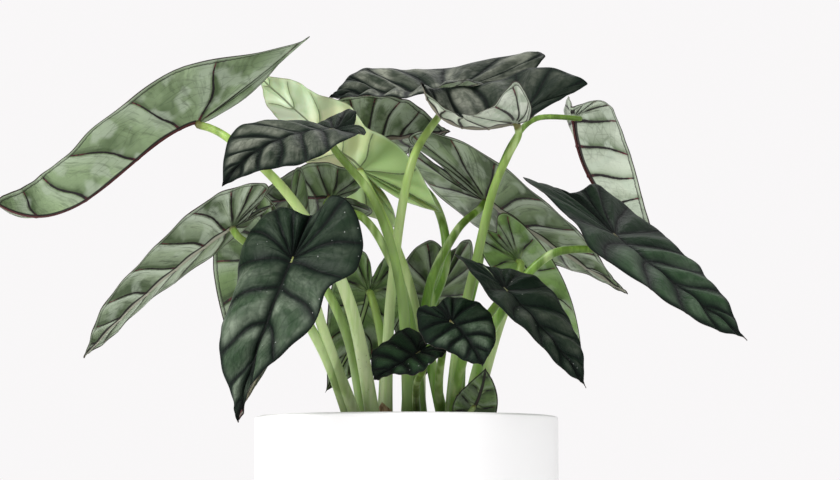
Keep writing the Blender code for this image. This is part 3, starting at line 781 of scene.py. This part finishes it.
class Shader:
    """A material's node tree, with a short way to write each kind of node that is used here. It starts from
    its specular level and other constants, and its colour is built up in layers by paint."""

    def __init__(self, name, specular, **constants):
        self.material = bpy.data.materials.new(name)
        self.material.use_nodes = True
        self.tree = self.material.node_tree
        self.last = self.tree.nodes["Principled BSDF"]
        self.last.inputs["Specular IOR Level"].default_value = specular
        for socket, value in constants.items():
            self.last.inputs[socket.replace("_", " ")].default_value = value
        self.object = self.node("ShaderNodeTexCoord").outputs["Object"]

    def set(self, socket, value):
        if isinstance(value, bpy.types.NodeSocket):
            self.tree.links.new(value, socket)
        else:
            socket.default_value = (*value, 1) if socket.type == "RGBA" else value

    def node(self, kind, inputs=None, **settings):
        """A new node, with its inputs, by name or number, set to constants or joined to other nodes."""
        made = self.tree.nodes.new(kind)
        for key, value in settings.items():
            setattr(made, key, value)
        for key, value in (inputs or {}).items():
            self.set(made.inputs[key], value)
        return made

    def math(self, operation, *values, clamp=False):
        made = self.node("ShaderNodeMath", dict(enumerate(values)), operation=operation, use_clamp=clamp)
        return made.outputs[0]

    def mul(self, first, *others):
        for other in others:
            first = self.math("MULTIPLY", first, other)
        return first

    def add(self, a, b):
        return self.math("ADD", a, b)

    def most(self, a, b):
        return self.math("MAXIMUM", a, b)

    def ramp(self, value, slope, start):
        """value * slope + start"""
        return self.math("MULTIPLY_ADD", value, slope, start)

    def apart(self, a, b):
        """How far apart two values are."""
        return self.math("ABSOLUTE", self.math("SUBTRACT", a, b))

    def step(self, value, low, high, to_low=0, to_high=1):
        """A smooth step from to_low to to_high, as value goes from low to high."""
        inputs = {"Value": value, "From Min": low, "From Max": high, "To Min": to_low, "To Max": to_high}
        return self.node("ShaderNodeMapRange", inputs, interpolation_type="SMOOTHSTEP").outputs["Result"]

    def fade(self, value, low, high):
        """1 where value is at most low, and smoothly down to 0 at high."""
        return self.step(value, low, high, 1, 0)

    def mix(self, share, a, b):
        """The colour a, or b where share is 1."""
        inputs = {"Factor": share, MIX_A: a, MIX_B: b}
        return self.node("ShaderNodeMix", inputs, data_type="RGBA").outputs[MIX_RESULT]

    def paint(self, share, colour):
        """Lays a colour over the material's, as thickly as share says."""
        self.colour = self.mix(share, self.colour, colour)

    def noise(self, scale, detail=3, rough=0.55, stretch=(1, 1, 1), offset=0.0, across=None):
        """Cloudy noise from 0 to 1 over the object, or across other coordinates."""
        inputs = {
            "Vector": self.object if across is None else across,
            "Location": (offset, offset * 0.7, offset * 1.3),
            "Scale": stretch,
        }
        place = self.node("ShaderNodeMapping", inputs).outputs["Vector"]
        inputs = {"Vector": place, "Scale": scale, "Detail": detail, "Roughness": rough}
        return self.node("ShaderNodeTexNoise", inputs).outputs["Fac"]

    def cells(self, scale, feature="DISTANCE_TO_EDGE", across=None):
        inputs = {"Vector": self.object if across is None else across, "Scale": scale}
        return self.node("ShaderNodeTexVoronoi", inputs, feature=feature).outputs["Distance"]

    def vector(self, x, y, z):
        return self.node("ShaderNodeCombineXYZ", {"X": x, "Y": y, "Z": z}).outputs[0]

    def split(self, vector):
        return tuple(self.node("ShaderNodeSeparateXYZ", {0: vector}).outputs)

    def parts(self, name):
        """The three numbers of a mesh attribute."""
        return self.split(self.node("ShaderNodeAttribute", attribute_name=name).outputs["Vector"])

    def bump(self, height, distance, strength, before=None):
        inputs = {"Height": height, "Distance": distance, "Strength": strength}
        if before is not None:
            inputs["Normal"] = before
        return self.node("ShaderNodeBump", inputs).outputs["Normal"]

    def finish(self, roughness, normal=None):
        for socket, value in (("Base Color", self.colour), ("Roughness", roughness), ("Normal", normal)):
            if value is not None:
                self.set(self.last.inputs[socket], value)
        return self.material


def vein_fields(m):
    """Which vein a place lies at, how far apart the veins are there, how far out along them it is, a noise
    that lets lines stray, and how far the nearest vein is. Lengths are in millimetres."""
    phase, spacing, out = m.parts("vein")
    wander = m.noise(420, 2, 0.6)
    from_vein = m.mul(m.math("PINGPONG", phase, 0.5), spacing)
    return phase, spacing, out, wander, m.add(from_vein, m.ramp(wander, 0.9, -0.45))


def folds(m, phase, out, edge):
    """The height of small soft folds that run out along the veins, in shares of the deepest."""
    return m.noise(1, across=m.vector(m.mul(phase, 3.2), m.mul(out, 2.6), m.mul(edge, 0.05)))


def under_material():
    """The underside: silver green between dark red-brown veins, a pale midrib and a thin dark margin."""
    m = Shader("leaf_underside", 0.3)
    phase, spacing, out, wander, from_vein = vein_fields(m)
    away, edge, share = m.parts("place")
    silver, green, pale_rib = m.parts("under")
    shaded, size, patchy = m.parts("build")
    cloud = m.noise(38)
    patch = m.noise(75, 1.5, 0.5, offset=0.37)
    along_field = m.math("FRACT", phase)
    is_green = m.step(green, 0.45, 0.8)
    is_large = m.step(size, 0.4, 0.8)

    # The fields between the veins: pale, with deeper green in clouds and painted shade near the veins
    white = m.math("SUBTRACT", silver, 1, clamp=True)
    field = m.mix(white, m.mix(silver, UNDER_OLIVE, UNDER_SILVER), UNDER_WHITE)
    field = m.mix(green, field, UNDER_GREEN)
    deep = m.mix(silver, UNDER_OLIVE_DEEP, UNDER_SILVER_DEEP)
    deep = m.mix(m.mul(white, 0.4), deep, UNDER_SILVER)
    deep = m.mix(m.mul(green, 0.8), deep, UNDER_GREEN_DEEP)
    near = m.fade(from_vein, 0.3, 4.4)
    shade_and_cloud_share = m.ramp(near, 0.45, m.mul(m.step(cloud, 0.42, 0.6), 0.5))
    # Painted shade also darkens each field towards one side, as if lit from above
    one_side_shade = m.step(along_field, 0.35, 1)
    shade_and_cloud_share = m.mul(m.ramp(one_side_shade, 0.6, shade_and_cloud_share), m.ramp(patchy, 0.7, 0.5))
    m.colour = m.mix(m.math("MINIMUM", shade_and_cloud_share, 1), field, deep)
    # Paler patches at random, and a painted highlight beside each vein where the painted shade is least
    light_share = m.mul(m.step(patch, 0.5, 0.62), m.ramp(silver, 0.5, 0.15))
    ridge = m.mul(m.fade(along_field, 0.05, 0.5), m.step(from_vein, 0.8, 2.2))
    m.paint(m.most(light_share, m.mul(ridge, patchy, 0.8)), UNDER_PALE_AND_HIGHLIGHT)
    wrinkle = m.noise(1, 4, 0.65, across=m.vector(m.mul(phase, 9), m.mul(out, 2.2), green))
    m.paint(m.mul(m.step(wrinkle, 0.52, 0.66), patchy, 0.55), UNDER_OLIVE_DEEP)
    net = m.fade(m.cells(1, across=m.vector(m.mul(phase, 2), m.mul(out, 9), green)), 0, 0.06)
    m.paint(m.mul(net, m.step(cloud, 0.42, 0.58, 0.05, 0.3)), UNDER_OLIVE_DEEP)

    # The side veins: reddest where they leave the midrib and near the edge, and fresh green in green leaves
    width = m.mul(m.ramp(out, -0.75, 1.4), m.ramp(size, 0.6, 0.4))
    halo = m.fade(from_vein, width, m.add(width, 1))
    vein = m.fade(from_vein, m.mul(width, 0.55), width)
    strong = m.mul(m.step(spacing, 1.5, 4), m.step(edge, 1.2, 3.2))
    m.paint(m.mul(halo, strong, 0.25), VEIN_HALO)
    fresh = m.mul(is_green, m.fade(out, 0.05, 0.45))
    joint = m.most(m.fade(out, 0.02, 0.16), m.step(out, 0.72, 0.86))
    dark = m.mix(m.mul(joint, m.step(wander, 0.4, 0.52)), VEIN_DARK, VEIN_RED)
    m.paint(m.mul(vein, strong), m.mix(fresh, dark, VEIN_FRESH))

    # The vein that gathers them along the edge, with a deeper band outside it
    m.paint(m.mul(m.fade(edge, 2, 3), is_large, 0.45), UNDER_BAND)
    gather = m.fade(m.apart(edge, m.ramp(wander, -1.2, 3.2)), 0.2, 0.55)
    m.paint(m.mul(gather, is_large, m.step(spacing, 2, 5, 0, 0.8)), VEIN_DARK)

    # The midrib, and the margin with a pale line beside it
    rib_width = m.mul(m.ramp(share, -1.1, 1.9), size, m.ramp(pale_rib, 0.4, 1))
    on_rib = m.step(share, 0, 0.01)
    rib = m.mul(m.fade(away, m.mul(rib_width, 0.75), rib_width), on_rib)
    rib_edge = m.fade(m.apart(away, rib_width), 0.25, 0.65)
    m.paint(rib, m.mix(pale_rib, MIDRIB_RED, m.mix(is_green, MIDRIB_PALE, VEIN_FRESH)))
    m.paint(m.mul(rib_edge, on_rib, 0.95), VEIN_DARK)
    m.paint(m.mul(m.fade(m.apart(edge, 1.2), 0.2, 0.5), size, 0.4), UNDER_PALE_AND_HIGHLIGHT)
    m.paint(m.fade(edge, 0.4, 0.9), MARGIN_DARK)
    m.paint(shaded, UNDER_SHADE)

    relief = m.ramp(net, -0.25, m.ramp(vein, 0.8, m.mul(m.noise(900, 2, 0.5), 0.2)))
    normal = m.bump(relief, 0.0003, 0.8, before=m.bump(folds(m, phase, out, edge), 0.0012, 0.8))
    return m.finish(m.ramp(cloud, 0.18, 0.42), normal)


def top_material():
    """The upper face: near-black green with sunken black veins; its swellings grey-green, partly painted
    sheen.
    """
    m = Shader("leaf_upper_face", 0.09)
    phase, spacing, out, wander, from_vein = vein_fields(m)
    away, edge, share = m.parts("place")
    grey, fresh, dust_and_glints = m.parts("upper")
    cloud = m.noise(45)
    fine = m.noise(300, 3, 0.6, offset=0.2)

    # How far up a swelling a place lies, and how much grey shows there: partly the leaf's own, partly painted
    # sheen
    centre = m.math("PINGPONG", m.ramp(wander, 0.12, m.add(phase, -0.06)), 0.5)
    full_at = m.ramp(grey, -0.28, 0.46)
    hump = m.mul(m.step(from_vein, 0.7, 3), m.step(centre, 0.02, full_at, 0.15, 1))
    hump = m.mul(hump, m.step(away, 0.5, 6), m.step(edge, 0.5, 5))
    stripe = m.noise(1, 3, 0.6, across=m.vector(m.mul(phase, 3), m.mul(out, 1.6), grey))
    lit = m.mul(
        hump,
        m.step(cloud, 0.36, 0.6, 0.25, 1),
        m.step(share, 0, 0.35, m.mul(grey, grey, 0.8), 1),
        m.step(spacing, 2, 8, 0.2, 1),
        m.step(fine, 0.3, 0.65, 0.7, 1),
        m.step(stripe, 0.36, 0.58, 0.35, 1),
    )
    green = m.mul(m.ramp(fresh, 0.8, 0.15), m.step(share, 0, 0.3, 0.35, 1))
    m.colour = m.mix(m.mul(hump, green), TOP_DARK, TOP_GREEN)
    # Grey-green over the swellings: partly the leaf's own grey, partly painted sheen
    m.paint(m.mul(lit, grey), m.mix(fresh, TOP_SHEEN_GREY, TOP_SHEEN_TEAL))

    # Sunken veins, midrib and edge, then creases and pale specks, partly dust and partly painted glints
    line = m.most(m.mul(m.fade(from_vein, 0.15, 1.3), m.step(edge, 0.6, 2)), m.fade(away, 0.35, 1.6))
    m.paint(line, TOP_VEIN)
    m.paint(m.mul(m.fade(edge, 0.2, 0.9), 0.7), TOP_VEIN)
    crease = m.fade(m.cells(1, across=m.vector(m.mul(phase, 2), m.mul(out, 7), grey)), 0, 0.15)
    m.paint(m.mul(crease, hump, 0.25), TOP_DARK)
    dust_and_glint_specks = m.fade(m.cells(260, "F1"), 0.07, 0.11)
    dust_and_glint_specks = m.mul(dust_and_glint_specks, dust_and_glints, m.step(m.noise(55, 1, 0.5, offset=0.6), 0.58, 0.66))
    m.paint(dust_and_glint_specks, DUST_AND_GLINT)
    relief = m.ramp(line, -0.5, m.ramp(crease, -0.35, m.mul(m.noise(1200, 2, 0.5), 0.2)))
    normal = m.bump(relief, 0.0003, 0.8, before=m.bump(folds(m, phase, out, edge), 0.0015, 0.9))
    return m.finish(m.ramp(m.ramp(line, 0.4, cloud), 0.2, 0.38), normal)


def young_material():
    """The newest leaf: pale yellow green on both sides, with fine green veins and no dark pigment yet."""
    m = Shader("leaf_young", 0.4, Subsurface_Weight=0.1, Subsurface_Scale=0.002)
    from_vein = vein_fields(m)[-1]
    away, edge, share = m.parts("place")
    cloud = m.noise(50, 4, 0.55)
    place = m.ramp(cloud, 0.3, m.add(share, -0.15))
    m.colour = m.mix(m.step(place, 0, 0.18), YOUNG_GREEN, YOUNG_CREAM)
    m.paint(m.step(place, 0.35, 0.6), YOUNG_PALE)
    m.paint(m.step(cloud, 0.48, 0.62, 0, 0.45), YOUNG_GREEN)
    # Paler mint in the middles of the fields, partly painted highlight on their swell, and painted shade near
    # the veins
    swell = m.step(m.noise(24, 2, 0.5, offset=0.8), 0.45, 0.6)
    m.paint(m.mul(swell, m.step(from_vein, 1, 6, 0, 0.6)), YOUNG_MINT)
    m.paint(m.mul(m.fade(from_vein, 0.4, 4), 0.55), YOUNG_VEIN_SHADE)
    m.paint(m.mul(m.fade(edge, 0.6, 3), 0.5), YOUNG_MINT)
    line = m.fade(from_vein, 0.25, 0.6)
    rib_line = m.fade(m.apart(away, m.step(share, 0, 0.25, 1.3, 0)), 0.3, 0.65)
    line = m.most(m.mul(line, m.step(edge, 0.8, 3)), m.mul(rib_line, m.step(share, 0, 0.02)))
    m.paint(m.mul(line, 0.85), YOUNG_VEIN)
    m.paint(m.mul(m.fade(edge, 0.2, 0.8), 0.6), YOUNG_VEIN)
    relief = m.ramp(line, 0.8, m.mul(m.noise(900, 2, 0.5), 0.3))
    return m.finish(m.ramp(cloud, 0.15, 0.4), m.bump(relief, 0.00025, 0.7))


def rim_material():
    """The thin edge all round a blade."""
    m = Shader("leaf_rim", 0.4)
    m.colour = m.mix(m.noise(500, 2), MARGIN_DARK, RIM_LIGHT)
    return m.finish(0.5)


def stalk_material():
    """Leaf stalks: smooth and fleshy, green above and whiter towards the foot, with faint streaks."""
    m = Shader("leaf_stalk", 0.3, Subsurface_Weight=0.06, Subsurface_Scale=0.003)
    share, kind, crown = m.parts("stem")
    streak = m.noise(260, 4, 0.6, stretch=(1, 1, 0.06))
    cloud = m.noise(30, 3, 0.5)
    broad = m.noise(90, 2, 0.5, stretch=(1, 1, 0.05), offset=0.4)
    foot = m.mix(kind, STALK_FOOT_DARK, STALK_FOOT_PALE)
    top = m.mix(kind, STALK_TOP_OLIVE, STALK_TOP_BRIGHT)
    m.colour = m.mix(m.step(share, 0.05, 0.8), foot, top)
    m.paint(m.mul(m.step(streak, 0.42, 0.7), 0.45), STALK_STREAK)
    m.paint(m.step(broad, 0.52, 0.66, 0, 0.5), STALK_TOP_OLIVE)
    m.paint(m.step(broad, 0.36, 0.48, 0.5, 0), STALK_LIGHT)
    m.paint(m.mul(m.step(cloud, 0.5, 0.75), 0.2), STALK_TOP_OLIVE)
    speck = m.fade(m.cells(420, "F1"), 0.1, 0.2)
    m.paint(m.mul(speck, m.step(cloud, 0.5, 0.7, 0, 0.5)), STALK_SPECK)
    m.paint(m.step(share, 0.965, 1, 0, 0.6), MIDRIB_RED)
    # Darker towards the foot, near the soil
    brown = SOIL_LEVEL + CROWN_TOP
    low = m.fade(m.split(m.object)[2], brown * MM, (brown + STALK_DARKENING_REACH) * MM)
    m.paint(m.mul(low, 0.5), STALK_FOOT_DARKENING)
    fibre = m.noise(500, 4, 0.7, stretch=(1, 1, 0.12))
    m.paint(crown, m.mix(m.step(fibre, 0.35, 0.7), CROWN_BROWN, CROWN_TAN))
    normal = m.bump(m.add(m.mul(streak, 0.6), m.mul(fibre, crown, 3)), 0.0004, 0.6)
    return m.finish(m.ramp(crown, 0.4, 0.36), normal)


def sheath_material():
    """Dry tan and brown fibres."""
    m = Shader("dry_sheath", 0.25)
    fibre = m.noise(700, 4, 0.65, stretch=(1, 1, 0.08))
    m.colour = m.mix(m.step(fibre, 0.35, 0.7), SHEATH_TAN, SHEATH_BROWN)
    return m.finish(0.72, m.bump(fibre, 0.0004, 0.8))


def pot_material():
    """Matte white ceramic with a faint orange-peel surface and very slight unevenness of tone."""
    m = Shader("white_ceramic", 0.35)
    tone = m.noise(9, 3, 0.5)
    m.colour = m.mix(m.mul(tone, 0.5), POT_WHITE, POT_SHADE)
    grain = m.add(m.mul(m.noise(1400, 2, 0.5), 0.5), m.mul(m.noise(180, 2, 0.5), 0.5))
    return m.finish(m.ramp(tone, 0.12, 0.46), m.bump(grain, 0.00012, 0.5))


def ground_material(name, colours, scale, rough):
    """Soil, bark or pale grains: rough, and mottled between two colours."""
    m = Shader(name, 0.2)
    m.colour = m.mix(m.step(m.noise(scale, 5, 0.7), 0.3, 0.72), *colours)
    return m.finish(rough, m.bump(m.noise(scale * 3, 4, 0.7), 0.0006, 0.8))


MATERIALS = {
    "under": under_material(),
    "top": top_material(),
    "young": young_material(),
    "rim": rim_material(),
    "stalk": stalk_material(),
    "sheath": sheath_material(),
    "pot": pot_material(),
    "soil": ground_material("potting_soil", SOIL_COLOURS, 420, 0.95),
    "bark": ground_material("bark_chip", BARK_COLOURS, 300, 0.85),
    "grain": ground_material("pale_grain", GRAIN_COLOURS, 500, 0.9),
}


# Stage, light and camera

def area_light(name, place, size, power, colour):
    """A soft round lamp that points at the plant."""
    light = bpy.data.lights.new(name, "AREA")
    light.shape = "DISK"
    light.size, light.energy, light.color = size, power, colour
    lamp = add(name, light)
    lamp.location = place
    lamp.rotation_euler = (Vector(LAMP_TARGET) - Vector(place)).to_track_quat("-Z", "Y").to_euler()


def stage():
    """A plain pale floor, a bright even surround and soft lights, as in a high-key studio."""
    mesh = bpy.data.meshes.new("floor")
    corners = [(x * FLOOR_REACH, y * FLOOR_REACH, 0) for x, y in ((-1, -1), (1, -1), (1, 1), (-1, 1))]
    mesh.from_pydata(corners, [], [(0, 1, 2, 3)])
    floor = add("floor", mesh)
    m = Shader("pale_floor", 0.1)
    m.colour = m.mix(m.noise(2, 2), *FLOOR_COLOURS)
    mesh.materials.append(m.finish(0.85))

    world = bpy.data.worlds.new("surround")
    bpy.context.scene.world = world
    world.use_nodes = True
    tree = world.node_tree
    background = tree.nodes["Background"]
    seen = tree.nodes.new("ShaderNodeLightPath").outputs["Is Camera Ray"]
    strength = tree.nodes.new("ShaderNodeMapRange")
    strength.inputs["To Min"].default_value = SURROUND_LIGHT
    strength.inputs["To Max"].default_value = SURROUND_SEEN
    tree.links.new(seen, strength.inputs["Value"])
    tree.links.new(strength.outputs["Result"], background.inputs["Strength"])
    background.inputs["Color"].default_value = (*SURROUND_COLOUR, 1)
    for lamp in LAMPS:
        area_light(*lamp)
    bpy.context.scene.view_settings.view_transform = "Standard"


def camera():
    """The photograph's view, from the front and tilted slightly up."""
    data = bpy.data.cameras.new("camera")
    data.sensor_width = SENSOR
    data.lens = SENSOR * CAMERA_FOCUS_PX / PHOTO_WIDTH_PX
    data.clip_start = CLIP_START
    made = add("camera", data)
    made.location = CAMERA_PLACE
    made.rotation_euler = (math.pi / 2 + math.atan(CAMERA_RISE_PX / CAMERA_FOCUS_PX), 0, 0)
    bpy.context.scene.camera = made


def build():
    leaves = [{**LEAF, **leaf} for leaf in LEAVES]
    stage()
    camera()
    pot()
    soil(np.random.default_rng(SOIL_SEED))
    for name in CROWNS:
        clump(name, [leaf for leaf in leaves if leaf["crown"] == name])
    for leaf in leaves:
        blade(leaf)
        if leaf["sheath"]:
            sheath(leaf)


build()
